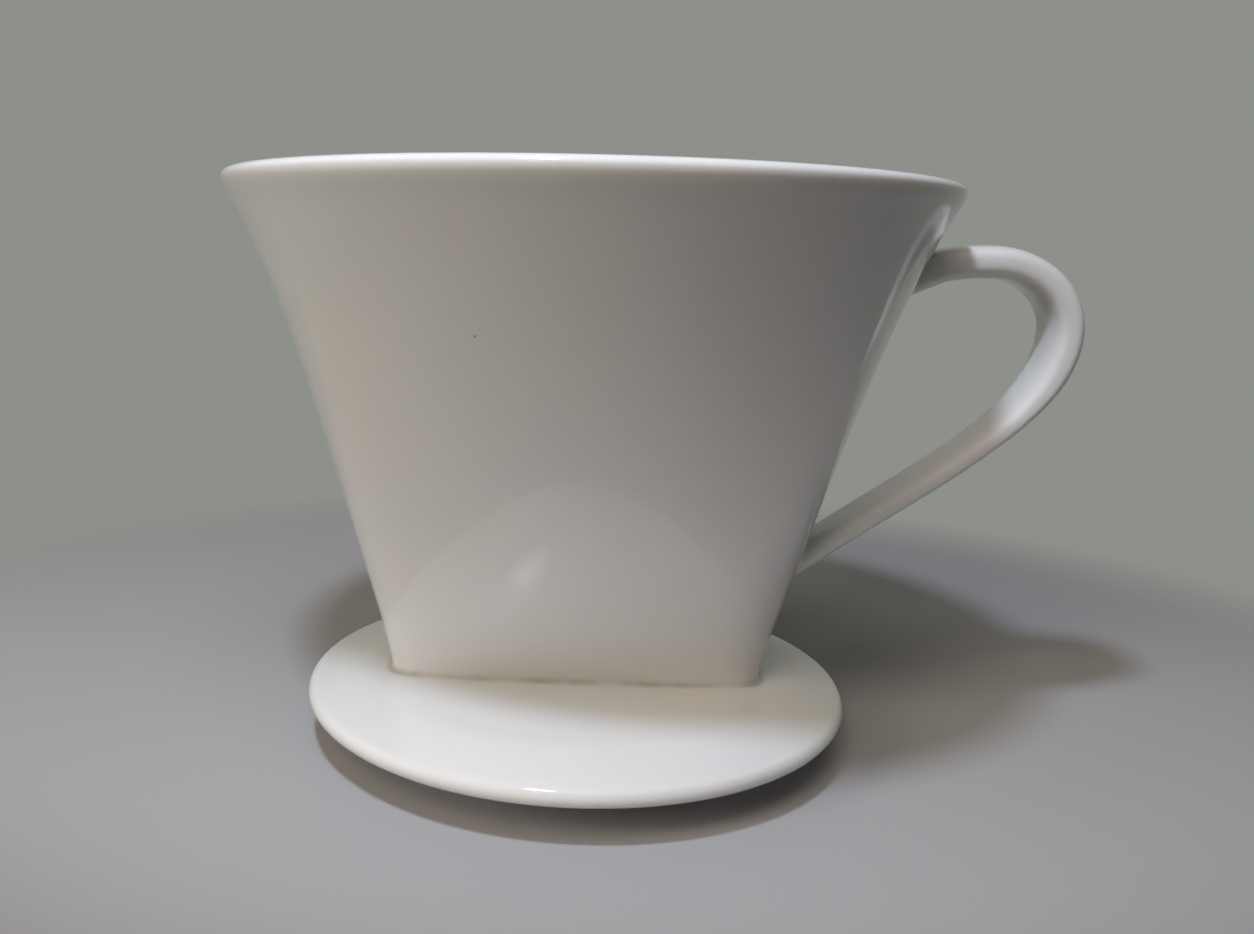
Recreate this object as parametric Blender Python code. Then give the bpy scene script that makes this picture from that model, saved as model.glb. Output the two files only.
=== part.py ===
# Porcelain pour-over dripper: an oblong filter cone on a round saucer, with a loop handle.
# The castings are luted with slip, and the slip beads at the joints are pieces of their own.
# Units are metres, +Z is up, and the saucer's ring stands on the plane Z = 0.
import math

import bmesh
import bpy
from mathutils import Vector

# Filter cone
RIM_DIAMETER = 0.128
OVERALL_HEIGHT = 0.102
LIP_THICKNESS = 0.0040
FOOT_LENGTH = 0.0664
FOOT_WIDTH = 0.0252
FOOT_WALL = 0.0046
DRIP_FLOOR = 0.0060
NOSE_LEDGE = 0.0022
NOSE_SETBACK = 0.0010

# Shape of the cone between its oblong foot and its round rim: how its walls lean and flare,
# the power of height at which they bow out, and how sharp the creases between them are
END_LEAN = 0.71
END_FLARE = 3.2
SIDE_LEAN = 0.90
SIDE_FLARE = 2.9
BOW_POWER = 1.87
FOOT_SHARPNESS = 6.3
RIM_SHARPNESS = 23.0

# Ribs inside the cone's two long walls, full up to a share of the height and then fading
RIB_PITCH = 0.0064
RIB_WIDTH = 0.0024
RIB_HEIGHT = 0.0012
RIB_END_MARGIN = 0.0085
RIB_FULL_SHARE = 0.50
RIB_FADE_SHARE = 0.28

# Drip holes through the floor
HOLE_COUNT = 3
HOLE_DIAMETER = 0.0045
HOLE_PITCH = 0.0140

# Saucer and the ring beneath it
SAUCER_OVERHANG = 0.0171
SAUCER_EDGE = 0.0040
SAUCER_CROWN = 0.0022
SEAT_MARGIN = 0.0040
RING_DEPTH = 0.0060
RING_MARGIN = 0.0020
RING_WALL = 0.0035
RING_ROUND = 0.0010
RING_ROUND_LIMIT = 0.45

# Loop handle
HANDLE_OVERHANG = 0.0251
HANDLE_THICKNESS = 0.0060
LOWER_ARM_THICKNESS = 0.0041
HANDLE_WIDTH = 0.0125
HANDLE_TOP_DROP = 0.0092
UPPER_ROOT_DROP = 0.0153
LOWER_ROOT_RISE = 0.0216
HANDLE_CROWN_SHARE = 0.52
HANDLE_BEND_SHARE = 0.83
HANDLE_SQUARENESS = 2.4

# Shape of the handle's curve: angles at its roots, in degrees, and shares for its tangents
UPPER_ROOT_ANGLE = 28.0
LOWER_ROOT_ANGLE = 36.5
ROOT_EASE = 0.27
CROWN_EASE = 0.46
BEND_EASE = 0.55
DROP_EASE = 0.25
ARM_EASE = 0.45

# Slip joints; a strap ring counts as clear of the wall past WALL_CLEAR times its radius
JOINT_GAP = 0.0003
BEAD_LEG = 0.0016
FOOT_BEAD_LEG = 0.0012
BEAD_HOLLOW = 0.55
WALL_CLEAR = 1.02

# Mesh steps
END_STEPS = 8
CORNER_STEPS = 2
OUTER_RINGS = 14
INNER_RINGS = 11
LIP_STEPS = 6
SAUCER_STEPS = 72
STRETCH_RINGS = (5, 9, 12)
HANDLE_SIDES = 18
HOLE_SIDES = 20
LEVEL_CROWDING = 1.35
SHARP_ANGLE = 35.0

# Levels and radii that follow from the sizes above
RIM_RADIUS = RIM_DIAMETER / 2
RIM_LEVEL = OVERALL_HEIGHT - LIP_THICKNESS / 2
PLATE_UNDERSIDE = RING_DEPTH
PLATE_EDGE_TOP = PLATE_UNDERSIDE + SAUCER_EDGE
SEAT_LEVEL = PLATE_EDGE_TOP + SAUCER_CROWN
FOOT_LEVEL = SEAT_LEVEL + JOINT_GAP
NOSE_LEVEL = PLATE_UNDERSIDE + NOSE_SETBACK
FLOOR_LEVEL = NOSE_LEVEL + DRIP_FLOOR
FOOT_HALF_LENGTH = FOOT_LENGTH / 2
FOOT_HALF_WIDTH = FOOT_WIDTH / 2
SAUCER_RADIUS = FOOT_HALF_LENGTH + SAUCER_OVERHANG
HANDLE_REACH = RIM_RADIUS + HANDLE_OVERHANG

# The ribs that fit on a long wall
FLOOR_HALF_LENGTH = FOOT_HALF_LENGTH - FOOT_WALL
RIB_COUNT = 1 + 2 * int((FLOOR_HALF_LENGTH - RIB_END_MARGIN) / RIB_PITCH)

PORCELAIN = (0.80, 0.79, 0.77, 1.0)
POOLED_GLAZE = (0.70, 0.70, 0.65, 1.0)
GLAZE_ROUGHNESS = 0.12
SLIP_ROUGHNESS = 0.14


def clearScene():
    for item in list(bpy.data.objects):
        bpy.data.objects.remove(item, do_unlink=True)


def makeMaterial(name, colour, roughness):
    material = bpy.data.materials.new(name)
    material.use_nodes = True
    shader = material.node_tree.nodes["Principled BSDF"]
    shader.inputs["Base Color"].default_value = colour
    shader.inputs["Roughness"].default_value = roughness
    shader.inputs["Metallic"].default_value = 0.0
    return material


def addObject(name, mesh, parent, material=None):
    piece = bpy.data.objects.new(name, mesh)
    bpy.context.scene.collection.objects.link(piece)
    piece.parent = parent
    if material is None:
        piece.hide_render = True
        piece.display_type = "WIRE"
    else:
        mesh.materials.append(material)
    return piece


def loftMesh(name, loops, closed=False):
    # Skin of quads over loops of points; the ends are capped, or joined into a closed ring
    body = bmesh.new()
    rows = [[body.verts.new(point) for point in loop] for loop in loops]
    count = len(rows[0])
    pairs = list(zip(rows, rows[1:]))
    if closed:
        pairs.append((rows[-1], rows[0]))
    for low, high in pairs:
        for k in range(count):
            after = (k + 1) % count
            body.faces.new((low[k], low[after], high[after], high[k]))
    if not closed:
        body.faces.new(rows[0])
        body.faces.new(rows[-1])
    bmesh.ops.recalc_face_normals(body, faces=body.faces)
    mesh = bpy.data.meshes.new(name)
    body.to_mesh(mesh)
    body.free()
    mesh.shade_smooth()
    mesh.set_sharp_from_angle(angle=math.radians(SHARP_ANGLE))
    return mesh


def addCut(piece, cutter):
    cut = piece.modifiers.new(cutter.name, "BOOLEAN")
    cut.operation = "DIFFERENCE"
    cut.solver = "EXACT"
    cut.object = cutter


# Cone form. h is the share of the height from the foot (0) to the rim (1).

def heightShare(level):
    return min(max((level - FOOT_LEVEL) / (RIM_LEVEL - FOOT_LEVEL), 0.0), 1.0)


def flare(h, lean, power):
    return lean * h + (1 - lean) * h ** power


def coneAxes(h):
    # Half length at the middle of the end walls and half width at the middle of the long walls
    end = FOOT_HALF_LENGTH + (RIM_RADIUS - FOOT_HALF_LENGTH) * flare(h, END_LEAN, END_FLARE)
    side = FOOT_HALF_WIDTH + (RIM_RADIUS - FOOT_HALF_WIDTH) * flare(h, SIDE_LEAN, SIDE_FLARE)
    return end, side


def wallShare(h):
    return FOOT_WALL + (LIP_THICKNESS - FOOT_WALL) * h


def wallBow(h):
    # 0 where the four walls are flat, at the foot; 1 where they join into one round, at the rim
    return h ** BOW_POWER


def sectionLevel(u, v, h):
    # 1 on a section's outline, from shares u of its half length and v of its half width:
    # two bowed long walls and two bowed end walls, blended at the creases where they meet
    bow = wallBow(h)
    power = FOOT_SHARPNESS + (RIM_SHARPNESS - FOOT_SHARPNESS) * h
    longWall = math.sqrt(v * v + bow * u * u)
    endWall = math.sqrt(u * u + bow * v * v)
    return ((longWall ** power + endWall ** power) / (1 + bow ** (power / 2))) ** (1 / power)


def sideStations():
    # Stations along a long wall as shares of its half length, each with True on a rib's ridge:
    # every rib's edges and ridge, the middle of each gap, and steps on from the ribs to the crease
    places = []
    for k in range(RIB_COUNT):
        middle = (k - (RIB_COUNT - 1) / 2) * RIB_PITCH
        places += [middle - RIB_WIDTH / 2, middle, middle + RIB_WIDTH / 2, middle + RIB_PITCH / 2]
    ribbed = [(place / FLOOR_HALF_LENGTH, k % 4 == 1) for k, place in enumerate(places[:-1])]
    last = ribbed[-1][0]
    steps = [last + (1 - last) * k / (CORNER_STEPS + 1) for k in range(1, CORNER_STEPS + 1)]
    return [(-share, False) for share in steps[::-1]] + ribbed + [(share, False) for share in steps]


def sectionShares(h):
    # Stations counter-clockwise from the +X end, as shares of half length and half width, each
    # with True on a rib's ridge; every wall's stations keep their places between its creases
    bow = wallBow(h)
    crease = 1 / math.sqrt(1 + bow)
    half = []
    for k in range(-END_STEPS, END_STEPS + 1):
        v = crease * k / END_STEPS
        half.append((math.sqrt(1 - bow * v * v), v, False))
    for share, ridge in sideStations()[::-1]:
        u = crease * share
        half.append((u, math.sqrt(1 - bow * u * u), ridge))
    levels = [sectionLevel(u, v, h) for u, v, _ in half]
    half = [(u / level, v / level, ridge) for (u, v, ridge), level in zip(half, levels)]
    return half + [(-u, -v, ridge) for u, v, ridge in half]


def outerLoop(level, inset=0.0):
    h = heightShare(level)
    end, side = coneAxes(h)
    return [Vector(((end - inset) * u, (side - inset) * v, level)) for u, v, _ in sectionShares(h)]


def ribRise(h):
    fade = (RIB_FULL_SHARE + RIB_FADE_SHARE - h) / RIB_FADE_SHARE
    return RIB_HEIGHT * min(max(fade, 0.0), 1.0)


def innerLoop(level):
    h = heightShare(level)
    end, side = coneAxes(h)
    wall = wallShare(h)
    rise = ribRise(h)
    loop = []
    for u, v, ridge in sectionShares(h):
        y = (side - wall) * v
        if ridge:
            y -= math.copysign(rise, y)
        loop.append(Vector(((end - wall) * u, y, level)))
    return loop


def lipLoop(turn):
    radius = RIM_RADIUS - LIP_THICKNESS / 2 * (1 - math.cos(turn))
    level = RIM_LEVEL + LIP_THICKNESS / 2 * math.sin(turn)
    return [Vector((radius * u, radius * v, level)) for u, v, _ in sectionShares(1.0)]


def crowded(k, count):
    # Levels crowd towards the rim, where the wall flares
    return 1 - (1 - k / count) ** LEVEL_CROWDING


def makeCone(parent):
    nose = outerLoop(FOOT_LEVEL, NOSE_LEDGE)
    loops = [[Vector((point.x, point.y, NOSE_LEVEL)) for point in nose], nose]
    rise = RIM_LEVEL - FOOT_LEVEL
    loops += [outerLoop(FOOT_LEVEL + rise * crowded(k, OUTER_RINGS)) for k in range(OUTER_RINGS + 1)]
    loops += [lipLoop(math.pi * k / LIP_STEPS) for k in range(1, LIP_STEPS)]
    depth = RIM_LEVEL - FLOOR_LEVEL
    loops += [innerLoop(FLOOR_LEVEL + depth * crowded(k, INNER_RINGS)) for k in range(INNER_RINGS, -1, -1)]
    material = makeMaterial("cone_glaze", PORCELAIN, GLAZE_ROUGHNESS)
    cone = addObject("filter_cone", loftMesh("filter_cone", loops), parent, material)
    addCut(cone, makeDripCutter(parent))
    return cone


def makeDripCutter(parent):
    body = bmesh.new()
    reach = DRIP_FLOOR * 2
    for k in range(HOLE_COUNT):
        drilled = bmesh.ops.create_cone(
            body, cap_ends=True, segments=HOLE_SIDES, depth=reach,
            radius1=HOLE_DIAMETER / 2, radius2=HOLE_DIAMETER / 2)
        middle = (k - (HOLE_COUNT - 1) / 2) * HOLE_PITCH
        place = Vector((middle, 0, (NOSE_LEVEL + FLOOR_LEVEL) / 2))
        bmesh.ops.translate(body, verts=drilled["verts"], vec=place)
    mesh = bpy.data.meshes.new("drip_cutter")
    body.to_mesh(mesh)
    body.free()
    return addObject("drip_cutter", mesh, parent)


# Saucer: turned plate with the ring beneath, cut through by the nose's window

def arcPoints(middle, radius, first, last, steps):
    points = []
    for k in range(steps + 1):
        angle = math.radians(first + (last - first) * k / steps)
        points.append((middle[0] + radius * math.cos(angle), middle[1] + radius * math.sin(angle)))
    return points


def saucerProfile():
    seat = FOOT_HALF_LENGTH + SEAT_MARGIN
    nose = SAUCER_EDGE / 2
    rounding = min(RING_ROUND, RING_WALL * RING_ROUND_LIMIT)
    ringIn = FOOT_HALF_LENGTH - NOSE_LEDGE + RING_MARGIN
    ringOut = ringIn + RING_WALL
    profile = [(0, SEAT_LEVEL), (seat, SEAT_LEVEL)]
    slope = SAUCER_RADIUS - nose - seat
    for k in range(1, 6):
        share = k / 6
        drop = SAUCER_CROWN * (3 - 2 * share) * share ** 2
        profile.append((seat + slope * share, SEAT_LEVEL - drop))
    profile += arcPoints((SAUCER_RADIUS - nose, PLATE_UNDERSIDE + nose), nose, 90, -90, 8)
    profile.append((ringOut, PLATE_UNDERSIDE))
    profile += arcPoints((ringOut - rounding, rounding), rounding, 0, -90, 3)
    profile += arcPoints((ringIn + rounding, rounding), rounding, -90, -180, 3)
    profile += [(ringIn, PLATE_UNDERSIDE), (0, PLATE_UNDERSIDE)]
    return profile


def makeSaucer(parent):
    body = bmesh.new()
    points = [body.verts.new((r, 0, z)) for r, z in saucerProfile()]
    edges = [body.edges.new(pair) for pair in zip(points, points[1:])]
    bmesh.ops.spin(
        body, geom=points + edges, cent=(0, 0, 0), axis=(0, 0, 1),
        angle=math.tau, steps=SAUCER_STEPS, use_merge=True)
    bmesh.ops.remove_doubles(body, verts=body.verts, dist=1e-6)
    bmesh.ops.recalc_face_normals(body, faces=body.faces)
    mesh = bpy.data.meshes.new("saucer")
    body.to_mesh(mesh)
    body.free()
    mesh.shade_smooth()
    mesh.set_sharp_from_angle(angle=math.radians(SHARP_ANGLE))
    material = makeMaterial("saucer_glaze", PORCELAIN, GLAZE_ROUGHNESS)
    saucer = addObject("saucer", mesh, parent, material)
    addCut(saucer, makeWindowCutter(parent))
    return saucer


def makeWindowCutter(parent):
    outline = outerLoop(FOOT_LEVEL, NOSE_LEDGE - JOINT_GAP)
    reach = SEAT_LEVEL - PLATE_UNDERSIDE
    low = [Vector((point.x, point.y, PLATE_UNDERSIDE - reach)) for point in outline]
    high = [Vector((point.x, point.y, SEAT_LEVEL + reach)) for point in outline]
    return addObject("window_cutter", loftMesh("window_cutter", [low, high]), parent)


# Handle: a strap of oval section swept along a curve from the upper root to the lower

def signedPower(value, power):
    return math.copysign(abs(value) ** power, value)


def wallLevel(point):
    # Below 1 inside the cone's outer face, 1 on it, above 1 outside it
    h = heightShare(point.z)
    end, side = coneAxes(h)
    return sectionLevel(point.x / end, point.y / side, h)


def wallHit(start, towards):
    # Point where a ray from outside meets the cone's outer face
    far = RIM_RADIUS
    near = 0.0
    for _ in range(48):
        middle = (near + far) / 2
        if wallLevel(start + towards * middle) > 1:
            near = middle
        else:
            far = middle
    return start + towards * near


def wallNormal(point):
    step = JOINT_GAP / 10
    slope = []
    for axis in range(3):
        ahead = point.copy()
        ahead[axis] += step
        behind = point.copy()
        behind[axis] -= step
        slope.append(wallLevel(ahead) - wallLevel(behind))
    return Vector(slope).normalized()


def offWall(point, towards):
    # Steps back from the wall, along the ray that hit it, to leave the joint's gap
    return point - towards * (JOINT_GAP / abs(wallNormal(point).dot(towards)))


def bezier(points, t):
    a, b, c, d = points
    s = 1 - t
    return a * s ** 3 + b * (3 * s * s * t) + c * (3 * s * t * t) + d * t ** 3


def wallX(level):
    return wallHit(Vector((HANDLE_REACH, 0, level)), Vector((-1, 0, 0))).x


def wayAt(degrees):
    return Vector((math.cos(math.radians(degrees)), 0, math.sin(math.radians(degrees))))


def handleCurve():
    # Three cubic stretches in the plane Y = 0: rise to the crown, bend, lower arm
    upper = OVERALL_HEIGHT - UPPER_ROOT_DROP
    lower = SEAT_LEVEL + LOWER_ROOT_RISE
    crown = OVERALL_HEIGHT - HANDLE_TOP_DROP - HANDLE_THICKNESS / 2
    outside = HANDLE_REACH - HANDLE_THICKNESS / 2
    rootIn = Vector((wallX(upper), 0, upper))
    rootOut = Vector((wallX(lower), 0, lower))
    top = Vector((rootIn.x + (outside - rootIn.x) * HANDLE_CROWN_SHARE, 0, crown))
    side = Vector((outside, 0, lower + (upper - lower) * HANDLE_BEND_SHARE))
    run = top.x - rootIn.x
    across = Vector((side.x - top.x, 0, 0)) * BEND_EASE
    drop = Vector((0, 0, top.z - side.z)) * BEND_EASE
    arm = (side - rootOut).length
    leaveRoot = rootIn + wayAt(UPPER_ROOT_ANGLE) * (run * ROOT_EASE)
    reachRoot = rootOut + wayAt(LOWER_ROOT_ANGLE) * (arm * ARM_EASE)
    first = (rootIn, leaveRoot, top - Vector((run * CROWN_EASE, 0, 0)), top)
    second = (top, top + across, side + drop, side)
    third = (side, side - Vector((0, 0, arm * DROP_EASE)), reachRoot, rootOut)
    return first, second, third


def handleStations():
    # Points along the curve with the strap's direction and thickness there
    points = []
    thicknesses = []
    stretches = handleCurve()
    for stretch, count in zip(stretches, STRETCH_RINGS):
        for k in range(count):
            points.append(bezier(stretch, k / count))
            thin = min(k / count * 2, 1.0) if stretch is stretches[-1] else 0.0
            eased = (3 - 2 * thin) * thin ** 2
            thicknesses.append(HANDLE_THICKNESS + (LOWER_ARM_THICKNESS - HANDLE_THICKNESS) * eased)
    points.append(stretches[-1][-1])
    thicknesses.append(LOWER_ARM_THICKNESS)
    ahead = points[1:] + points[-1:]
    behind = points[:1] + points[:-1]
    ways = [(after - before).normalized() for after, before in zip(ahead, behind)]
    return list(zip(points, ways, thicknesses))


def strapRing(point, way, thickness, grow=0.0):
    across = Vector((0, 1, 0))
    up = way.cross(across)
    ring = []
    for k in range(HANDLE_SIDES):
        angle = math.tau * k / HANDLE_SIDES
        wide = signedPower(math.cos(angle), 2 / HANDLE_SQUARENESS) * (HANDLE_WIDTH / 2 + grow)
        thick = signedPower(math.sin(angle), 2 / HANDLE_SQUARENESS) * (thickness / 2 + grow)
        ring.append(point + across * wide + up * thick)
    return ring


def rootRing(station, towards, grow=0.0):
    # The strap's outline carried on to the wall, short of it by the joint's gap
    point, way, thickness = station
    start = point - towards * HANDLE_OVERHANG
    hits = [wallHit(corner, towards) for corner in strapRing(start, way, thickness, grow)]
    return [offWall(hit, towards) for hit in hits]


def makeHandle(parent):
    stations = handleStations()
    upper = stations[0]
    lower = stations[-1]
    loops = [rootRing(upper, -upper[1])]
    # Rings that would reach into the wall beside the roots are left out
    for station in stations:
        ring = strapRing(*station)
        if min(wallLevel(corner) for corner in ring) > WALL_CLEAR:
            loops.append(ring)
    loops.append(rootRing(lower, lower[1]))
    material = makeMaterial("handle_glaze", PORCELAIN, GLAZE_ROUGHNESS)
    handle = addObject("handle", loftMesh("handle", loops), parent, material)
    makeRootBead("upper_slip_bead", parent, upper, -upper[1])
    makeRootBead("lower_slip_bead", parent, lower, lower[1])
    return handle


def hollowLoop(corners, firstEnds, secondEnds):
    # Middle of a fillet's face, drawn in towards its corner
    middles = [(first + second) / 2 for first, second in zip(firstEnds, secondEnds)]
    return [corner + (middle - corner) * BEAD_HOLLOW for corner, middle in zip(corners, middles)]


def makeRootBead(name, parent, station, towards):
    # Fillet of slip round the strap where it meets the wall
    inner = rootRing(station, towards, JOINT_GAP)
    outer = rootRing(station, towards, JOINT_GAP + BEAD_LEG)
    arm = [corner - towards * BEAD_LEG for corner in inner]
    loops = [inner, outer, hollowLoop(inner, outer, arm), arm]
    material = makeMaterial(name + "_glaze", PORCELAIN, SLIP_ROUGHNESS)
    return addObject(name, loftMesh(name, loops, closed=True), parent, material)


def makeFootBead(parent):
    # Fillet of slip round the foot of the cone, on the saucer's seat
    inner = outerLoop(FOOT_LEVEL, -JOINT_GAP)
    outer = outerLoop(FOOT_LEVEL, -JOINT_GAP - FOOT_BEAD_LEG)
    top = outerLoop(FOOT_LEVEL + FOOT_BEAD_LEG, -JOINT_GAP)
    loops = [inner, outer, hollowLoop(inner, outer, top), top]
    material = makeMaterial("foot_bead_glaze", POOLED_GLAZE, SLIP_ROUGHNESS)
    return addObject("foot_slip_bead", loftMesh("foot_slip_bead", loops, closed=True), parent, material)


def main():
    clearScene()
    # The cone's axis stands off the origin, which lies under the middle of the outline
    axis = bpy.data.objects.new("cone_axis", None)
    bpy.context.scene.collection.objects.link(axis)
    axis.location = (-HANDLE_OVERHANG / 2, 0, 0)
    makeCone(axis)
    makeSaucer(axis)
    makeFootBead(axis)
    makeHandle(axis)


main()
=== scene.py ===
import math

import bmesh
import bpy
import numpy as np
from mathutils import Matrix, Vector


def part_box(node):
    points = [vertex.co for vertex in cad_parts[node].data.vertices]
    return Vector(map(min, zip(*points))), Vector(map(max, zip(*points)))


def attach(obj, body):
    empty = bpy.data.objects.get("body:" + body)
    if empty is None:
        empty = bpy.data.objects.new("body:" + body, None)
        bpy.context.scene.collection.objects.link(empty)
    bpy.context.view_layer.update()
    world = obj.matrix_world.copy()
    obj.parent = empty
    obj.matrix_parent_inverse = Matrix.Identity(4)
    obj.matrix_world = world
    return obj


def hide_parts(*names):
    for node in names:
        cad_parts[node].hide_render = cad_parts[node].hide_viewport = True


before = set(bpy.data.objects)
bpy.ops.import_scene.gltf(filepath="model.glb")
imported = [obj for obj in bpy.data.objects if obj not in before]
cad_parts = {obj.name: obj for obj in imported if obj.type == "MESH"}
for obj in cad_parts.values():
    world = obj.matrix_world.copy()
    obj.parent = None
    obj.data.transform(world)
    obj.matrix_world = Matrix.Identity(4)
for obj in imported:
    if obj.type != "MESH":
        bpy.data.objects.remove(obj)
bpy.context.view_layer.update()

scene = bpy.context.scene
coneBox, saucerBox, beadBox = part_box("filter_cone"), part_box("saucer"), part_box("foot_slip_bead")
axisX = (saucerBox[0].x + saucerBox[1].x) / 2  # the cone's axis stands off the origin, towards -X
print("frame:", len(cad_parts), "nodes, cone axis at", round(axisX * 1000, 2), "mm")


# finishes

class Wire:
    # an output socket; sums on it add Math nodes

    def __init__(self, finish, socket):
        self.finish = finish
        self.socket = socket

    def maths(self, operation, first, second):
        return self.finish.add("ShaderNodeMath", {"operation": operation}, {0: first, 1: second})

    def __add__(self, other):
        return self.maths("ADD", self, other)

    def __radd__(self, other):
        return self.maths("ADD", other, self)

    def __rsub__(self, other):
        return self.maths("SUBTRACT", other, self)

    def __mul__(self, other):
        return self.maths("MULTIPLY", self, other)

    def __rmul__(self, other):
        return self.maths("MULTIPLY", other, self)


class Finish:
    # the nodes of a material or of the room; add() makes any node from its settings and its sockets

    def __init__(self, owner):
        self.owner = owner
        owner.use_nodes = True
        self.tree = owner.node_tree
        self.tree.nodes.clear()

    def add(self, kind, settings, inputs, output=0):
        node = self.tree.nodes.new(kind)
        for key, value in settings.items():
            setattr(node, key, value)
        for key, value in inputs.items():
            if isinstance(value, Wire):
                self.tree.links.new(value.socket, node.inputs[key])
            else:
                node.inputs[key].default_value = value
        return Wire(self, node.outputs[output]) if node.outputs else None

    def place(self, shift):
        # object coordinates in metres, moved so that each casting has its own pattern
        spot = self.add("ShaderNodeTexCoord", {}, {}, "Object")
        return self.add("ShaderNodeVectorMath", {"operation": "ADD"}, {0: spot, 1: shift})

    def cloud(self, spot, scale, detail=2.0):
        return self.add("ShaderNodeTexNoise", {"noise_dimensions": "3D"},
                        {"Vector": spot, "Scale": scale, "Detail": detail, "Roughness": 0.5})

    def ease(self, value, low, high, bottom=0.0, top=1.0):
        return self.add("ShaderNodeMapRange", {"interpolation_type": "SMOOTHSTEP"},
                        {"Value": value, "From Min": low, "From Max": high, "To Min": bottom, "To Max": top})

    def blend(self, share, first, second):
        return self.add("ShaderNodeMix", {"data_type": "RGBA"}, {0: share, 6: first, 7: second}, 2)

    def mark(self, name):
        return self.add("ShaderNodeAttribute", {"attribute_name": name}, {}, "Fac")


porcelain = dict(
    body=(0.785, 0.774, 0.752, 1), cool=(0.768, 0.772, 0.766, 1), thin=(0.815, 0.804, 0.785, 1),
    # pooled: glaze pooled in the joints, darkened there as painted shade
    pooledGlazeAndShade=(0.380, 0.345, 0.270, 1), speck=(0.100, 0.080, 0.060, 1), bisque=(0.690, 0.655, 0.600, 1),
    scuff=(0.430, 0.410, 0.390, 1),
    cloudScale=22.0, cloudRange=(0.35, 0.65), thinShare=0.8,
    runScale=130.0, runRange=(0.25, 0.75), runLeast=0.35,
    speckScale=210.0, speckShare=0.035, speckCut=0.98, speckRadius=0.055, speckCore=0.5, speckDepth=0.75,
    rubScale=160.0, rubRange=(0.50, 0.72), rubShare=0.55,
    hazeScale=75.0, hazeRange=(0.45, 0.80), roughness=0.085, roughVariation=0.060, clayRoughness=0.5,
    peelScale=420.0, peelHeight=0.010, swellScale=55.0, swellHeight=0.030,
    gritScale=900.0, gritHeight=0.020, heightUnit=0.001, coat=0.35,
)


def porcelainFinish(name, shift):
    p = porcelain
    glaze = Finish(bpy.data.materials.new(name))
    spot = glaze.place(shift)
    pooledGlazeAndShade, thin, bare = [glaze.mark(key) for key in ("pooledGlazeAndShade", "thin", "bare")]
    drift = glaze.cloud(spot, p["cloudScale"], detail=3.0)
    colour = glaze.blend(glaze.ease(drift, *p["cloudRange"]), p["body"], p["cool"])
    colour = glaze.blend(thin * p["thinShare"], colour, p["thin"])
    # glaze runs thick into the joints, more in some places than in others, and its dark colour there is also
    # painted shade of the joints and corners
    runs = glaze.ease(glaze.cloud(spot, p["runScale"]), *p["runRange"], p["runLeast"], 1.0)
    colour = glaze.blend(pooledGlazeAndShade * runs, colour, p["pooledGlazeAndShade"])
    # a few iron specks, in about one cell of thirty and up to half a millimetre across
    cell = {"feature": "F1", "distance": "EUCLIDEAN"}
    sizes = {"Vector": spot, "Scale": p["speckScale"], "Randomness": 1.0}
    near = glaze.add("ShaderNodeTexVoronoi", cell, sizes, "Distance")
    pick = glaze.add("ShaderNodeSeparateColor", {}, {
        "Color": glaze.add("ShaderNodeTexVoronoi", cell, sizes, "Color")})
    chosen = glaze.ease(pick, p["speckShare"] * p["speckCut"], p["speckShare"], 1.0, 0.0)
    speck = chosen * glaze.ease(near, p["speckRadius"] * p["speckCore"], p["speckRadius"], 1.0, 0.0)
    colour = glaze.blend(speck * p["speckDepth"], colour, p["speck"])
    # dry clay where the ring is wiped clean of glaze, grey where it has rubbed on worktops
    rubbed = glaze.ease(glaze.cloud(spot, p["rubScale"], detail=5.0), *p["rubRange"])
    clay = glaze.blend(rubbed * p["rubShare"], p["bisque"], p["scuff"])
    colour = glaze.blend(bare, colour, clay)
    haze = glaze.ease(glaze.cloud(spot, p["hazeScale"], detail=4.0), *p["hazeRange"])
    gloss = p["roughness"] + p["roughVariation"] * haze + bare * p["clayRoughness"]
    # heights in millimetres: orange peel, slow swells left by the mould, and grit on dry clay
    peel = glaze.cloud(spot, p["peelScale"], detail=1.0) * p["peelHeight"]
    swell = glaze.cloud(spot, p["swellScale"], detail=1.0) * p["swellHeight"]
    grit = bare * glaze.cloud(spot, p["gritScale"], detail=4.0) * p["gritHeight"]
    bump = glaze.add("ShaderNodeBump", {}, {
        "Strength": 1.0, "Distance": p["heightUnit"], "Height": peel + swell + grit})
    shader = glaze.add("ShaderNodeBsdfPrincipled", {}, {
        "Base Color": colour, "Roughness": gloss, "Normal": bump, "IOR": 1.52,
        "Subsurface Weight": 0.12, "Subsurface Radius": (1.0, 0.85, 0.65), "Subsurface Scale": 0.0016,
        "Coat Weight": (1 - bare) * p["coat"], "Coat Roughness": 0.03, "Coat IOR": 1.5})
    glaze.add("ShaderNodeOutputMaterial", {}, {"Surface": shader})
    return glaze.owner


# shared mesh tools; points are measured from the cone's axis until a mesh is made

sharpAngle = 40.0  # degrees; edges that turn further are shaded sharp
nudge = 2e-5  # metres; the step that slopes of a wall are taken over
tiny = 1e-6
halvings = 48


def smooth(share):
    share = np.clip(share, 0.0, 1.0)
    return share * share * (3 - 2 * share)


def bell(away, width):
    # 1 at no distance, and almost nothing past twice the width
    return np.exp(-(away / width) ** 2)


def signedPower(value, power):
    return np.sign(value) * np.abs(value) ** power


def crowd(shares):
    # draws stations from -1 to 1 towards both ends
    return 0.5 * shares + 0.5 * np.sin(shares * math.pi / 2)


def loopAt(x, y, level):
    return np.stack([x, y, np.full(len(x), level)], axis=1)


def bend(first, firstPull, lastPull, last, t):
    s = 1 - t
    return first * s ** 3 + firstPull * (3 * s * s * t) + lastPull * (3 * s * t * t) + last * t ** 3


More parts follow.
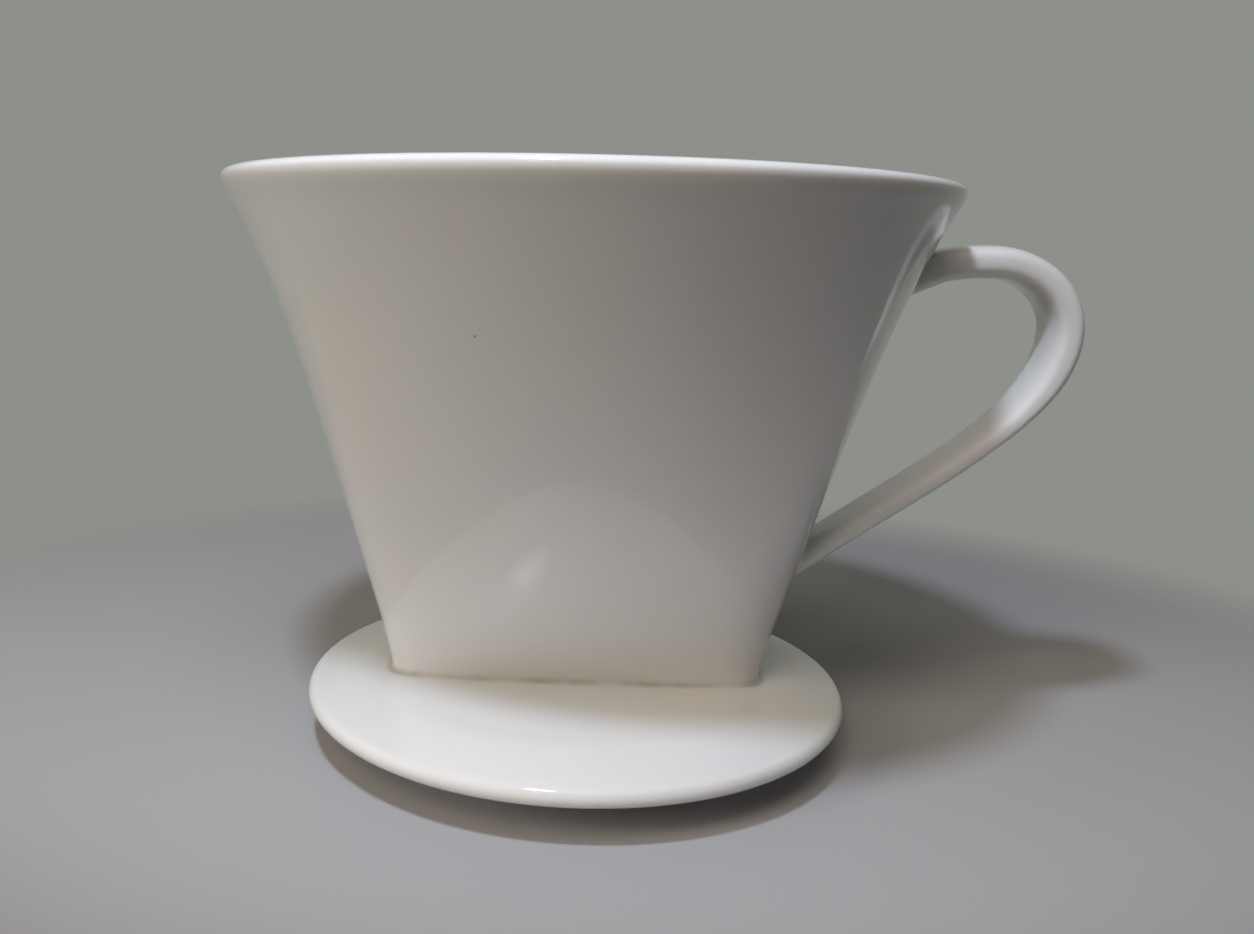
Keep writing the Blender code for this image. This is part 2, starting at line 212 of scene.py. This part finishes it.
def skin(body, loops, joined=False):
    # quads over loops of points; returns the rows of vertices
    rows = [[body.verts.new((x + axisX, y, z)) for x, y, z in loop] for loop in loops]
    pairs = list(zip(rows, rows[1:]))
    if joined:
        pairs.append((rows[-1], rows[0]))
    for low, high in pairs:
        for k in range(len(low)):
            after = (k + 1) % len(low)
            body.faces.new((low[k], low[after], high[after], high[k]))
    return rows


def ringEdges(body, row):
    return [body.edges.get((row[k], row[k - 1])) for k in range(len(row))]


def makePiece(name, body, slotName, nodes, shift, marks):
    # marks gives each vertex its pooled glaze with painted shade in the joints, and its thin and bare glaze
    bmesh.ops.recalc_face_normals(body, faces=body.faces)
    mesh = bpy.data.meshes.new(name)
    body.to_mesh(mesh)
    body.free()
    mesh.shade_smooth()
    mesh.set_sharp_from_angle(angle=math.radians(sharpAngle))
    points = np.zeros(len(mesh.vertices) * 3)
    mesh.vertices.foreach_get("co", points)
    points = points.reshape(-1, 3) - (axisX, 0, 0)
    for key, values in marks(points).items():
        layer = mesh.attributes.new(key, "FLOAT", "POINT")
        layer.data.foreach_set("value", np.ascontiguousarray(np.clip(values, 0, 1), dtype=np.float32))
    mesh.materials.append(porcelainFinish(slotName, shift))
    piece = bpy.data.objects.new(name, mesh)
    scene.collection.objects.link(piece)
    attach(piece, "root")
    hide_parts(*nodes)
    print(name + ":", len(mesh.polygons), "faces")


# filter cone: four walls, flat at the foot, that bow out with height and join into the round rim

cone = dict(
    rimRadius=(coneBox[1].y - coneBox[0].y) / 2, top=coneBox[1].z, lip=0.0040,
    outerRoll=0.0036, innerRoll=0.0012, widest=0.0013, pull=0.58,
    noseLevel=coneBox[0].z, seatLevel=saucerBox[1].z, footLevel=beadBox[0].z,
    footHalfLength=0.0344, footHalfWidth=0.0126, footWall=0.0046,
    endLean=0.842, endFlare=5.4, sideLean=0.90, sideFlare=2.9,
    endBow=0.80, sideBow=0.50, footSharpness=6.3, rimSharpness=3000.0, sharpening=1.5,
    floorLevel=0.0130, floorRound=0.0018, noseLedge=0.0022, noseRound=0.0007,
    ribCount=7, ribPitch=0.0064, ribWidth=0.0027, ribHeight=0.0012,
    ribFull=0.50, ribFade=0.28, ribFoot=0.004,
    holeCount=3, holePitch=0.0140, holeRadius=0.00225, holeRound=0.0007,
    sideSteps=168, endSteps=96, outerRings=72, innerRings=58, innerCrowd=1.25,
    lipSteps=8, holeSteps=48, roundSteps=6, floorSteps=8,
    outerFace=0.985, seamWidth=0.0009, seamDepth=0.8,
    cornerFace=0.45, cornerWidth=0.0016, cornerDepth=0.35, lipWidth=0.0026, pattern=(0.31, 0.17, 0.05),
)
cone["rimLevel"] = cone["top"] - cone["lip"] / 2
endShares = crowd(np.linspace(-1, 1, cone["endSteps"]))
sideShares = crowd(np.linspace(-1, 1, cone["sideSteps"] + 2)[1:-1])


def heightShare(level):
    return np.clip((level - cone["footLevel"]) / (cone["rimLevel"] - cone["footLevel"]), 0.0, 1.0)


def flare(h, lean, power):
    return lean * h + (1 - lean) * h ** power


def coneAxes(h):
    # half length at the middle of the end walls, half width at the middle of the long walls
    c = cone
    length, width = c["footHalfLength"], c["footHalfWidth"]
    end = length + (c["rimRadius"] - length) * flare(h, c["endLean"], c["endFlare"])
    side = width + (c["rimRadius"] - width) * flare(h, c["sideLean"], c["sideFlare"])
    return end, side


def bows(h):
    # how far the end and long walls have bowed, from 0 where flat to 1 where round
    h = np.clip(h, tiny, 1 - tiny)
    return h ** cone["endBow"], h ** cone["sideBow"]


def sectionLevel(u, v, h):
    # 1 on a section's outline, from shares of its half length and half width
    c = cone
    endBow, sideBow = bows(h)
    power = c["footSharpness"] * (c["rimSharpness"] / c["footSharpness"]) ** h ** c["sharpening"]
    longWall = np.sqrt(v * v + sideBow * u * u)
    endWall = np.sqrt(u * u + endBow * v * v)
    outer = np.maximum(np.maximum(longWall, endWall), 1e-9)
    longShare, endShare = (longWall / outer) ** power, (endWall / outer) ** power
    both = longShare + endShare
    # keeps the middles of the walls where they are while the creases are rounded
    held = 1 + (endShare * sideBow ** (power / 2) + longShare * endBow ** (power / 2)) / both
    return outer * (both / held) ** (1 / power)


def sectionShares(h):
    # round the +X end, back along +Y, round the -X end and along -Y, each wall from crease to crease
    endBow, sideBow = bows(h)
    ends = endShares * math.sqrt((1 - sideBow) / (1 - endBow * sideBow))
    sides = sideShares[::-1] * math.sqrt((1 - endBow) / (1 - endBow * sideBow))
    u = np.concatenate([np.sqrt(1 - endBow * ends ** 2), sides])
    v = np.concatenate([ends, np.sqrt(1 - sideBow * sides ** 2)])
    level = sectionLevel(u, v, h)
    u, v = u / level, v / level
    return np.concatenate([u, -u]), np.concatenate([v, -v])


def outline(level, inset=0.0, ribs=0.0):
    h = float(heightShare(level))
    end, side = coneAxes(h)
    u, v = sectionShares(h)
    return loopAt((end - inset) * u, (side - inset) * v - np.sign(v) * ribs * ribShape(), level)


def ribShape():
    # 1 on each rib's ridge and 0 between the ribs and round the ends
    c = cone
    along = sideShares * (c["footHalfLength"] - c["footWall"])
    wave = np.zeros(len(along))
    for k in range(c["ribCount"]):
        away = (along - (k - (c["ribCount"] - 1) / 2) * c["ribPitch"]) / (c["ribWidth"] / 2)
        wave = np.maximum(wave, np.cos(np.clip(away, -1, 1) * math.pi / 2) ** 2)
    half = np.concatenate([np.zeros(c["endSteps"]), wave])
    return np.concatenate([half, half])


def innerOutline(level, inset=0.0):
    c = cone
    h = heightShare(level)
    wall = c["footWall"] + (c["lip"] - c["footWall"]) * h
    fade = smooth((c["ribFull"] + c["ribFade"] - h) / c["ribFade"])
    rise = fade * smooth((level - c["floorLevel"]) / c["ribFoot"])
    return outline(level, wall + inset, c["ribHeight"] * rise)


def lipLoops():
    # from the leaning outer wall up to the widest line, over the crown and down into the inner wall
    c = cone
    u, v = sectionShares(1.0)
    up = np.array([0.0, 0.0, 1.0])

    def ring(inset, level):
        radius = c["rimRadius"] - inset
        return loopAt(radius * u, radius * v, level)

    def leaning(wall, level, run):
        # a wall's own direction at a level, as long as the run asks
        step = 1e-4
        return (wall(level) - wall(level - step)) * run / step

    outside, inside = c["rimLevel"] - c["outerRoll"], c["rimLevel"] - c["innerRoll"]
    widest, crown = ring(0.0, c["top"] - c["widest"]), ring(c["lip"] / 2, c["top"])
    inward = ring(c["lip"], c["top"]) - crown
    rise = c["top"] - c["widest"] - outside
    fall = c["top"] - inside
    first, last = outline(outside), innerOutline(inside)
    stretches = [
        (first, first + leaning(outline, outside, rise / 3), widest - up * rise / 3, widest),
        (widest, widest + up * c["widest"] * c["pull"], crown - inward * c["pull"], crown),
        (crown, crown + inward * c["pull"],
         last + leaning(innerOutline, inside, fall * c["pull"] / 2), last),
    ]
    shares = np.linspace(0, 1, c["lipSteps"] + 1)[1:]
    return [bend(*stretch, t) for stretch in stretches for t in shares][:-1]


def wallLevel(points):
    # below 1 inside the cone's outer face, above 1 outside it
    h = heightShare(points[:, 2])
    end, side = coneAxes(h)
    return sectionLevel(points[:, 0] / end, points[:, 1] / side, h)


def wallNormal(points):
    slopes = [wallLevel(points + way) - wallLevel(points - way) for way in np.eye(3) * nudge]
    slopes = np.stack(slopes, axis=1)
    return slopes / np.linalg.norm(slopes, axis=1, keepdims=True)


def wallHit(starts, way):
    # where rays from outside meet the outer face
    near = np.zeros(len(starts))
    far = np.full(len(starts), cone["rimRadius"])
    for _ in range(halvings):
        middle = (near + far) / 2
        outside = wallLevel(starts + way * middle[:, None]) > 1
        near = np.where(outside, middle, near)
        far = np.where(outside, far, middle)
    return starts + way * near[:, None]


def footDistance(points):
    # about how far outside the foot's outline, in metres
    low = points.copy()
    low[:, 2] = cone["footLevel"]
    level = np.maximum(wallLevel(low), tiny)
    return np.linalg.norm(points[:, :2], axis=1) * (1 - 1 / level)


def coneMarks(points):
    c = cone
    height, wall = points[:, 2], wallLevel(points)
    outside = wall > c["outerFace"]
    # pooled glaze with painted shade: darker along the foot joint and in the inside corner at the floor
    seam = bell(np.maximum(height - c["seatLevel"], 0), c["seamWidth"]) * c["seamDepth"] * outside
    corner = bell(height - c["floorLevel"], c["cornerWidth"]) * (wall > c["cornerFace"]) * ~outside
    return {"pooledGlazeAndShade": np.maximum(seam, c["cornerDepth"] * corner),
            "thin": bell(height - c["top"], c["lipWidth"]), "bare": np.zeros(len(points))}


def makeCone():
    c = cone
    quarter = np.linspace(0, math.pi / 2, c["roundSteps"])
    loops = []
    for turn in quarter[::-1]:  # rounded lower edge of the nose
        loop = outline(c["footLevel"], c["noseLedge"] + c["noseRound"] * (1 - math.cos(turn)))
        loop[:, 2] = c["noseLevel"] + c["noseRound"] * (1 - math.sin(turn))
        loops.append(loop)
    for inset in (c["noseLedge"], 0.0):
        loop = outline(c["footLevel"], inset)
        loop[:, 2] = c["seatLevel"]
        loops.append(loop)
    # rings crowd towards the foot and the lip
    share = (1 + crowd(np.linspace(-1, 1, c["outerRings"] + 1))) / 2
    rise = c["rimLevel"] - c["outerRoll"] - c["footLevel"]
    loops += [outline(level) for level in c["footLevel"] + rise * share]
    loops += lipLoops()
    base = c["floorLevel"] + c["floorRound"]
    rise = c["rimLevel"] - c["innerRoll"] - base
    share = 1 - (1 - np.linspace(0, 1, c["innerRings"] + 1)) ** c["innerCrowd"]
    loops += [innerOutline(level) for level in base + rise * share[::-1]]
    for turn in np.linspace(0, math.pi / 2, c["floorSteps"])[1:]:
        loops.append(innerOutline(c["floorLevel"] + c["floorRound"] * (1 - math.sin(turn)),
                                  c["floorRound"] * (1 - math.cos(turn))))
    body = bmesh.new()
    rows = skin(body, loops)
    below, above = ringEdges(body, rows[0]), ringEdges(body, rows[-1])
    turns = np.linspace(0, math.tau, c["holeSteps"], endpoint=False)
    for k in range(c["holeCount"]):
        middle = (k - (c["holeCount"] - 1) / 2) * c["holePitch"]
        rims = [(c["holeRound"] * (1 - math.sin(turn)),
                 c["floorLevel"] - c["holeRound"] * (1 - math.cos(turn))) for turn in quarter]
        rims += [(out, c["noseLevel"] + c["floorLevel"] - level) for out, level in rims[::-1]]
        rings = []
        for out, level in rims:
            radius = c["holeRadius"] + out
            rings.append(loopAt(middle + radius * np.cos(turns), radius * np.sin(turns), level))
        drilled = skin(body, rings)
        above += ringEdges(body, drilled[0])
        below += ringEdges(body, drilled[-1])
    bmesh.ops.triangle_fill(body, use_beauty=True, edges=above, normal=(0, 0, 1))
    bmesh.ops.triangle_fill(body, use_beauty=True, edges=below, normal=(0, 0, -1))
    makePiece("filterCone", body, "cone_glaze", ["filter_cone"], c["pattern"], coneMarks)


# saucer: turned plate with the centring ring under it and the nose's window through it

saucer = dict(
    radius=(saucerBox[1].x - saucerBox[0].x) / 2, edge=0.0034, lift=0.0007, edgeTurn=72.0, fallPower=1.6,
    seatRadius=0.0372, underside=0.0060,
    ringIn=0.0330, ringOut=0.0365, ringRound=0.0010, rootRound=0.0009, windowRound=0.0005,
    seamRings=(0.0, 0.0003, 0.0006, 0.0010, 0.0016), steps=288,
    topSteps=20, edgeSteps=20, underSteps=5, rootSteps=6, ringSteps=8, windowSteps=5,
    seamWidth=0.0008, seamDepth=0.7, bandWidth=0.0016, underDepth=0.4, edgeThin=0.7,
    bareFrom=0.0002, bareHeight=0.0007, pattern=(0.05, 0.43, 0.21),
)


def arc(middle, radius, first, last, steps):
    turns = np.radians(np.linspace(first, last, steps + 1))
    return [(middle[0] + radius * math.cos(t), middle[1] + radius * math.sin(t)) for t in turns]


def saucerProfile():
    # from the seat out over the edge, in along the underside and round the ring
    s = saucer
    nose = s["edge"] / 2
    top = cone["seatLevel"]
    low = s["underside"] + s["lift"]  # the underside rises towards the edge
    middle = (s["radius"] - nose, low + nose)
    turned = math.radians(s["edgeTurn"])
    start = (middle[0] + nose * math.cos(turned), middle[1] + nose * math.sin(turned))
    run, fall = start[0] - s["seatRadius"], top - start[1]
    steps = s["topSteps"]
    profile = [(s["seatRadius"] + run * k / steps, top - fall * (k / steps) ** s["fallPower"])
               for k in range(steps)]
    profile += arc(middle, nose, s["edgeTurn"], -90, s["edgeSteps"])
    root = s["rootRound"]
    inner = s["ringOut"] + root
    steps = s["underSteps"]
    profile += [(inner + (middle[0] - inner) * k / steps,
                 s["underside"] + s["lift"] * float(smooth(k / steps))) for k in range(steps - 1, 0, -1)]
    profile += arc((inner, s["underside"] - root), root, 90, 180, s["rootSteps"])
    edge = s["ringRound"]
    profile += arc((s["ringOut"] - edge, edge), edge, 0, -90, s["ringSteps"])
    profile += arc((s["ringIn"] + edge, edge), edge, -90, -180, s["ringSteps"])
    profile += arc((s["ringIn"] - root, s["underside"] - root), root, 0, 90, s["rootSteps"])
    return profile


def saucerMarks(points):
    s = saucer
    height, band = points[:, 2], s["bandWidth"]
    onTop = height > s["underside"] + s["edge"] / 2
    # pooled glaze with painted shade: darker along the foot joint and round the ring's corners underneath
    seam = bell(np.maximum(footDistance(points), 0), s["seamWidth"]) * s["seamDepth"] * onTop
    radius = np.hypot(points[:, 0], points[:, 1])
    corner = np.minimum(np.abs(radius - s["ringOut"]), np.abs(radius - s["ringIn"]))
    under = bell(corner, band) * bell(height - s["underside"], band) * ~onTop
    return {"pooledGlazeAndShade": np.maximum(seam, s["underDepth"] * under),
            "thin": bell(radius - s["radius"], band) * s["edgeThin"],
            "bare": 1 - smooth((height - s["bareFrom"]) / s["bareHeight"])}


def makeSaucer():
    s = saucer
    turns = np.linspace(0, math.tau, s["steps"], endpoint=False)
    end, side = coneAxes(0.0)
    power = 2 / cone["footSharpness"]
    # the nose's own outline
    u, v = signedPower(np.cos(turns), power), signedPower(np.sin(turns), power)

    def window(level, grow):
        inset = cone["noseLedge"] - grow
        return loopAt((end - inset) * u, (side - inset) * v, level)

    loops = [loopAt(radius * np.cos(turns), radius * np.sin(turns), level)
             for radius, level in saucerProfile()]
    edge = s["windowRound"]
    loops += [window(s["underside"] + edge * (1 - math.sin(turn)), edge * (1 - math.cos(turn)))
              for turn in np.linspace(math.pi / 2, 0, s["windowSteps"])]
    seams = cone["noseLedge"] + np.array(s["seamRings"])
    loops += [window(cone["seatLevel"], grow) for grow in (0.0, *seams)]
    body = bmesh.new()
    skin(body, loops, joined=True)
    makePiece("saucerPlate", body, "saucer_glaze", ["saucer"], s["pattern"], saucerMarks)


# glaze-filled fillets where the castings are luted with slip

fillet = dict(
    footLeg=0.0008, rootLeg=0.0017, pull=0.62, sink=0.00003, tuck=0.0006, tuckShare=0.1, steps=12, settles=4,
    footWidth=0.0011, rootWidth=0.0013, rootDepth=0.35, rootEvery=3,
)


def filletLoops(first, corner, last, hidden):
    # a hollow skin from the first line to the last, closed out of sight
    pull = fillet["pull"]
    loops = [bend(first, first + (corner - first) * pull, last + (corner - last) * pull, last, t)
             for t in np.linspace(0, 1, fillet["steps"] + 1)]
    return loops + [hidden]


def makeFootFillet():
    leg, sink = fillet["footLeg"], fillet["sink"]
    c = cone
    corner = outline(c["footLevel"])
    corner[:, 2] = c["seatLevel"]
    upper = outline(c["footLevel"] + leg, sink)
    lower = outline(c["footLevel"], -leg)
    lower[:, 2] = c["seatLevel"] - sink
    hidden = outline(c["footLevel"], fillet["tuck"])
    hidden[:, 2] = c["seatLevel"] - fillet["tuck"]
    body = bmesh.new()
    skin(body, filletLoops(upper, corner, lower, hidden), joined=True)

    def marks(points):
        # pooled glaze with painted shade: darker near the joint
        away = np.maximum(footDistance(points), points[:, 2] - c["seatLevel"])
        seam = bell(np.maximum(away, 0), fillet["footWidth"])
        return {"pooledGlazeAndShade": seam, "thin": np.zeros(len(points)), "bare": np.zeros(len(points))}

    makePiece("footFillet", body, "foot_bead_glaze", ["foot_slip_bead"], c["pattern"], marks)


# loop handle: a round-cornered strap swept along three cubic stretches in the plane through the axis

handle = dict(
    reach=0.0891, thickness=0.0060, armThickness=0.0041, width=0.0125, squareness=2.9,
    upperRoot=0.0867, lowerRoot=0.0338, crownLevel=0.0898, crownShare=0.52, bendShare=0.83,
    upperAngle=28.0, lowerAngle=36.5, rootEase=0.27, crownEase=0.46, bendEase=0.55,
    dropEase=0.25, armEase=0.45, rings=(16, 34, 44), sides=72,
    rootRings=10, rootBack=0.02, sunk=0.0010, clear=1.02, pattern=(0.57, 0.09, 0.38),
)


def handleCurve():
    d = handle

    def root(level):
        start = np.array([[d["reach"], 0.0, level]])
        return wallHit(start, np.array([-1.0, 0.0, 0.0]))[0]

    def way(degrees):
        return np.array([math.cos(math.radians(degrees)), 0.0, math.sin(math.radians(degrees))])

    rootIn, rootOut = root(d["upperRoot"]), root(d["lowerRoot"])
    outside = d["reach"] - d["thickness"] / 2
    top = np.array([rootIn[0] + (outside - rootIn[0]) * d["crownShare"], 0.0, d["crownLevel"]])
    side = np.array([outside, 0.0, d["lowerRoot"] + (d["upperRoot"] - d["lowerRoot"]) * d["bendShare"]])
    run = top[0] - rootIn[0]
    across = np.array([(side[0] - top[0]) * d["bendEase"], 0.0, 0.0])
    drop = np.array([0.0, 0.0, (top[2] - side[2]) * d["bendEase"]])
    arm = float(np.linalg.norm(side - rootOut))
    leave = rootIn + way(d["upperAngle"]) * run * d["rootEase"]
    arrive = rootOut + way(d["lowerAngle"]) * arm * d["armEase"]
    return [(rootIn, leave, top - np.array([run * d["crownEase"], 0.0, 0.0]), top),
            (top, top + across, side + drop, side),
            (side, side - np.array([0.0, 0.0, arm * d["dropEase"]]), arrive, rootOut)]


def handleStations():
    # points along the curve with the strap's direction and thickness there
    d = handle
    stations = []
    stretches = handleCurve()
    for n, (stretch, count) in enumerate(zip(stretches, d["rings"])):
        for t in np.linspace(0, 1, count + 1)[0 if n == 0 else 1:]:
            step = 1e-4
            way = bend(*stretch, min(t + step, 1)) - bend(*stretch, max(t - step, 0))
            thin = float(smooth(t * 2)) if n == 2 else 0.0
            stations.append((bend(*stretch, t), way / np.linalg.norm(way),
                             d["thickness"] + (d["armThickness"] - d["thickness"]) * thin))
    return stations


def strapRing(point, way, thickness):
    d = handle
    across = np.array([0.0, 1.0, 0.0])
    up = np.cross(way, across)
    turns = np.linspace(0, math.tau, d["sides"], endpoint=False)
    wide = signedPower(np.cos(turns), 2 / d["squareness"]) * d["width"] / 2
    thick = signedPower(np.sin(turns), 2 / d["squareness"]) * thickness / 2
    return point + wide[:, None] * across + thick[:, None] * up


def rootLines(station, towards, firstClear, clearWay):
    # the strap's lines carried on from its first free ring into the wall
    point, way, thickness = station
    hits = wallHit(strapRing(point - towards * handle["rootBack"], way, thickness), towards)
    sunk = hits + towards * handle["sunk"]
    reach = np.linalg.norm(firstClear - sunk, axis=1, keepdims=True)

    def at(share):
        # cubic between the two, with the strap's direction at either end
        t = np.asarray(share).reshape(-1, 1)
        return (sunk * (2 * t ** 3 - 3 * t ** 2 + 1) - towards * reach * (t ** 3 - 2 * t ** 2 + t)
                + firstClear * (3 * t ** 2 - 2 * t ** 3) - clearWay * reach * (t ** 3 - t ** 2))

    return at, hits, reach


def rootMarks(hits):
    # glaze pools a little along the lines where the strap meets the wall, darkened there as painted shade
    roots = hits[None, ::fillet["rootEvery"], :]

    def marks(points):
        away = np.min(np.linalg.norm(points[:, None, :] - roots, axis=2), axis=1)
        return {"pooledGlazeAndShade": fillet["rootDepth"] * bell(away, fillet["rootWidth"]),
                "thin": np.zeros(len(points)), "bare": np.zeros(len(points))}

    return marks


def makeRootFillet(name, slotName, node, lines, towards):
    at, hits, reach = lines
    leg, sink = fillet["rootLeg"], fillet["sink"]
    normal = wallNormal(hits)
    along = np.roll(hits, -1, axis=0) - np.roll(hits, 1, axis=0)
    outward = np.cross(normal, along)
    outward /= np.linalg.norm(outward, axis=1, keepdims=True)
    middle = hits.mean(axis=0)
    outward *= np.sign(np.sum(outward * (hits - middle), axis=1, keepdims=True))
    onWall = hits + outward * leg
    for _ in range(fillet["settles"]):  # back onto the curved wall
        slope = (wallLevel(onWall + normal * nudge) - wallLevel(onWall - normal * nudge)) / (2 * nudge)
        onWall = onWall - normal * ((wallLevel(onWall) - 1) / slope)[:, None]
    onWall = onWall - normal * sink
    onStrap = at((handle["sunk"] + leg) / reach)
    inward = onStrap.mean(axis=0) - onStrap
    onStrap = onStrap + inward / np.linalg.norm(inward, axis=1, keepdims=True) * sink
    tucked = hits + towards * fillet["tuck"] + (middle - hits) * fillet["tuckShare"]
    body = bmesh.new()
    skin(body, filletLoops(onStrap, hits, onWall, tucked), joined=True)
    makePiece(name, body, slotName, [node], handle["pattern"], rootMarks(hits))


def makeHandle():
    d = handle
    stations = handleStations()
    free = [k for k, station in enumerate(stations) if wallLevel(strapRing(*station)).min() > d["clear"]]
    first, last = stations[free[0]], stations[free[-1]]
    towardsUpper, towardsLower = -stations[0][1], stations[-1][1]
    upper = rootLines(stations[0], towardsUpper, strapRing(*first), first[1])
    lower = rootLines(stations[-1], towardsLower, strapRing(*last), -last[1])
    shares = np.linspace(0, 1, d["rootRings"] + 1)[:-1]
    count = d["sides"]
    loops = [upper[0](np.full(count, share)) for share in shares]
    loops += [strapRing(*stations[k]) for k in free]
    loops += [lower[0](np.full(count, share)) for share in shares[::-1]]
    body = bmesh.new()
    rows = skin(body, loops)
    body.faces.new(rows[0])
    body.faces.new(rows[-1])
    marks = rootMarks(np.concatenate([upper[1], lower[1]]))
    makePiece("handleLoop", body, "handle_glaze", ["handle"], d["pattern"], marks)
    makeRootFillet("upperRootFillet", "upper_bead_glaze", "upper_slip_bead", upper, towardsUpper)
    makeRootFillet("lowerRootFillet", "lower_bead_glaze", "lower_slip_bead", lower, towardsLower)


makeCone()
makeSaucer()
makeFootFillet()
makeHandle()


# studio: an even grey floor, a small lamp close overhead on the front left, and three broad soft fills

studio = dict(
    floor=(0.425, 0.415, 0.415, 1), floorRadius=0.26, floorSides=64, floorRings=8,
    fadeMiddle=(0.01, 0.01, 0.0), fadeFrom=0.155, fadeTo=0.215,
    airBack=(0.270, 0.280, 0.258, 1), airFront=(0.040, 0.040, 0.040, 1), airTop=(0.050, 0.050, 0.050, 1),
    darkWay=(0.45, -0.89, 0.0), darkRange=(-0.5, 0.7), topRange=(0.35, 0.85),
    keyPlace=(-0.063, -0.173, 0.385), keyAim=(0.020, 0.160, 0.0), keyRadius=0.020,
    keyCone=66.0, keySoft=0.45, keyWatts=3.65, keyColour=(0.70, 0.80, 1.0), fillAim=(0.0, 0.0, 0.05),
    leftFill=dict(azimuth=-52.0, elevation=20.0, far=1.2, size=0.45, watts=4.0, colour=(1.0, 0.90, 0.77)),
    frontFill=dict(azimuth=-22.0, elevation=42.0, far=1.2, size=0.45, watts=3.2, colour=(1.0, 0.84, 0.66)),
    highFill=dict(azimuth=10.0, elevation=60.0, far=1.2, size=0.50, watts=2.0, colour=(1.0, 0.94, 0.86)),
)


def makeFloor():
    # a round sheet that fades into the room with no horizon
    s = studio
    turns = np.linspace(0, math.tau, s["floorSides"], endpoint=False)
    radii = [s["floorRadius"] * k / s["floorRings"] for k in range(1, s["floorRings"] + 1)]
    body = bmesh.new()
    rows = skin(body, [loopAt(r * np.cos(turns), r * np.sin(turns), 0.0) for r in radii])
    body.faces.new(rows[0])
    bmesh.ops.recalc_face_normals(body, faces=body.faces)
    mesh = bpy.data.meshes.new("studioFloor")
    body.to_mesh(mesh)
    body.free()
    paper = Finish(bpy.data.materials.new("studioPaper"))
    spot = paper.add("ShaderNodeTexCoord", {}, {}, "Object")
    middle = Vector((axisX, 0.0, 0.0)) + Vector(s["fadeMiddle"])
    away = paper.add("ShaderNodeVectorMath", {"operation": "DISTANCE"}, {0: spot, 1: middle}, "Value")
    shader = paper.add("ShaderNodeBsdfPrincipled", {}, {
        "Base Color": s["floor"], "Roughness": 0.75, "Specular IOR Level": 0.2,
        "Alpha": paper.ease(away, s["fadeFrom"], s["fadeTo"], 1.0, 0.0)})
    paper.add("ShaderNodeOutputMaterial", {}, {"Surface": shader})
    mesh.materials.append(paper.owner)
    floor = bpy.data.objects.new("studioFloor", mesh)
    scene.collection.objects.link(floor)


def makeAir():
    # the room is light behind the object and dim behind the camera and overhead
    s = studio
    scene.world = bpy.data.worlds.new("studioAir")
    air = Finish(scene.world)
    way = air.add("ShaderNodeTexCoord", {}, {}, "Generated")
    facing = air.add("ShaderNodeVectorMath", {"operation": "DOT_PRODUCT"},
                     {0: way, 1: s["darkWay"]}, "Value")
    height = air.add("ShaderNodeSeparateXYZ", {}, {0: way}, "Z")
    colour = air.blend(air.ease(facing, *s["darkRange"]), s["airBack"], s["airFront"])
    colour = air.blend(air.ease(height, *s["topRange"]), colour, s["airTop"])
    sky = air.add("ShaderNodeBackground", {}, {"Color": colour, "Strength": 1.0})
    air.add("ShaderNodeOutputWorld", {}, {"Surface": sky})


def addLamp(name, kind, place, aim, watts, colour):
    lamp = bpy.data.lights.new(name, kind)
    lamp.energy = watts
    lamp.color = colour
    item = bpy.data.objects.new(name, lamp)
    scene.collection.objects.link(item)
    item.location = place
    item.rotation_euler = (aim - place).to_track_quat("-Z", "Y").to_euler()
    item.visible_camera = False
    return lamp


def makeLights():
    s = studio
    axis = Vector((axisX, 0.0, 0.0))
    key = addLamp("keyLamp", "SPOT", axis + Vector(s["keyPlace"]), axis + Vector(s["keyAim"]),
                  s["keyWatts"], s["keyColour"])
    key.shadow_soft_size = s["keyRadius"]
    key.spot_size = math.radians(s["keyCone"])
    key.spot_blend = s["keySoft"]
    middle = axis + Vector(s["fillAim"])
    for name in ("leftFill", "frontFill", "highFill"):
        f = s[name]
        side, up = math.radians(f["azimuth"]), math.radians(f["elevation"])
        way = Vector((math.sin(side) * math.cos(up), -math.cos(side) * math.cos(up), math.sin(up)))
        fill = addLamp(name, "AREA", middle + way * f["far"], middle, f["watts"], f["colour"])
        fill.shape = "DISK"
        fill.size = f["size"]
        scene.objects[name].visible_glossy = False  # no lamp's image in the glaze but the key's


# camera where the photograph was taken from; the picture is a crop, so its middle is off the lens axis

view = dict(
    place=(axisX - 0.0029, -0.2100, 0.0899), turn=1.32, pitch=-9.50, roll=1.50,
    lens=32.72, sensor=36.0, shift=(0.0692, -0.0211), nearest=0.005, farthest=100.0,
)


def makeCamera():
    data = bpy.data.cameras.new("photoCamera")
    data.sensor_fit = "HORIZONTAL"
    data.sensor_width = view["sensor"]
    data.lens = view["lens"]
    data.shift_x, data.shift_y = view["shift"]
    data.clip_start = view["nearest"]
    data.clip_end = view["farthest"]
    camera = bpy.data.objects.new("photoCamera", data)
    scene.collection.objects.link(camera)
    turn = Matrix.Rotation(math.radians(view["turn"]), 4, "Z")
    tilt = Matrix.Rotation(math.radians(90 + view["pitch"]), 4, "X")
    roll = Matrix.Rotation(math.radians(view["roll"]), 4, "Z")
    camera.matrix_world = Matrix.Translation(view["place"]) @ turn @ tilt @ roll
    scene.camera = camera


makeFloor()
makeAir()
makeLights()
makeCamera()
scene.view_settings.view_transform = "Standard"
print("studio: floor, four lamps, camera")
